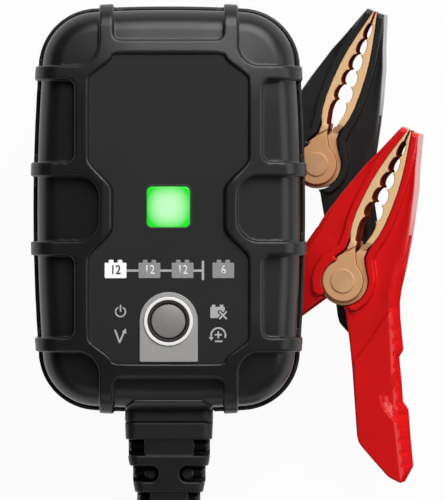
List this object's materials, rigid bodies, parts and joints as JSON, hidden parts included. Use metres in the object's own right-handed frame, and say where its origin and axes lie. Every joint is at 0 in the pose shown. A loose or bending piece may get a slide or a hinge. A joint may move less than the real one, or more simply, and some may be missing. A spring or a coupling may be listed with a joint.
{
  "type": "car battery charger",
  "caption": "Compact plug-in battery charger with a ribbed housing, a round mode button, a coiled lead and two sprung battery clamps.",
  "frame": {"origin": "middle of the flat outlet face on the charger's back, on the housing's centre line", "axes": "+Z out of the front face, +Y towards the top of the housing, +X to the right seen from the front; the table that it lies on is at z = -17.5 mm"},
  "size_m": [0.1008, 0.2192, 0.0563],
  "materials": {
    "case_black": "satin moulded",
    "face_black": "fine matt",
    "seal_rubber": "matt",
    "boot_rubber": "satin",
    "lead_black": "satin",
    "red_rubber": "satin",
    "clamp_red": "moulded semi-gloss",
    "clamp_black": "moulded semi-gloss",
    "bronze": "copper-plated steel",
    "brass": "plain",
    "blade_metal": "nickel-plated",
    "steel": "zinc-plated",
    "aluminium": "extruded",
    "lens_green": "lit lens",
    "lens_white": "translucent lens",
    "trim_grey": "satin",
    "button_grey": "satin domed",
    "board_green": "solder mask",
    "ferrite": "ferrite",
    "winding_tape": "tape",
    "capacitor_sleeve": "shrink sleeve",
    "ceramic": "ceramic tube"
  },
  "bodies": {
    "charger": {"rear_shell": "case_black", "front_shell": "case_black", "shell_gasket": "seal_rubber", "face_plate": "face_black", "status_lens": "lens_green", "indicator_lights": "lens_white", "button_surround": "trim_grey", "button_ring": "lens_white", "tact_switch": "steel", "display_board": "board_green", "status_led": "lens_white", "power_board": "board_green", "transformer_core": "ferrite", "transformer_winding": "winding_tape", "filter_capacitors": "capacitor_sleeve", "heat_sink": "aluminium", "power_transistor": "case_black", "mains_fuse": "ceramic", "plug_base": "case_black", "mains_blades": "blade_metal", "blade_contacts": "brass", "housing_screws": "steel", "lead_boot": "boot_rubber", "lead_grip": "case_black", "output_wires": "red_rubber", "charger_lead": "lead_black", "lead_coil": "lead_black", "coil_tie": "seal_rubber", "lead_plug": "boot_rubber", "clamp_socket": "boot_rubber", "red_lead": "red_rubber", "black_lead": "lead_black", "red_fixed_cover": "clamp_red", "red_fixed_jaw": "bronze", "red_rivet": "bronze", "red_spring": "steel", "red_crimp": "brass", "black_fixed_cover": "clamp_black", "black_fixed_jaw": "bronze", "black_rivet": "bronze", "black_spring": "steel", "black_crimp": "brass"},
    "button": {"mode_button": "button_grey"},
    "red_clamp_arm": {"red_moving_cover": "clamp_red", "red_moving_jaw": "bronze", "red_spring_leg": "steel"},
    "black_clamp_arm": {"black_moving_cover": "clamp_black", "black_moving_jaw": "bronze", "black_spring_leg": "steel"}
  },
  "joints": [
    {"name": "button_press", "type": "slide", "parent": "charger", "child": "button", "axis": [0, 0, -1], "range_m": [0, 0.0006], "stiffness_N_per_m": 250, "springref_m": -0.0004},
    {"name": "red_clamp_open", "type": "hinge", "parent": "charger", "child": "red_clamp_arm", "pos_m": [0.03867, -0.01553, 0.00392], "axis": [0.1936, 0.0069, -0.9811], "range_deg": [0, 35], "stiffness_Nm_per_rad": 0.06, "springref_deg": -40.11},
    {"name": "black_clamp_open", "type": "hinge", "parent": "charger", "child": "black_clamp_arm", "pos_m": [0.03288, 0.01034, -0.00635], "axis": [0.145, 0.0361, -0.9888], "range_deg": [0, 35], "stiffness_Nm_per_rad": 0.06, "springref_deg": -40.11}
  ]
}
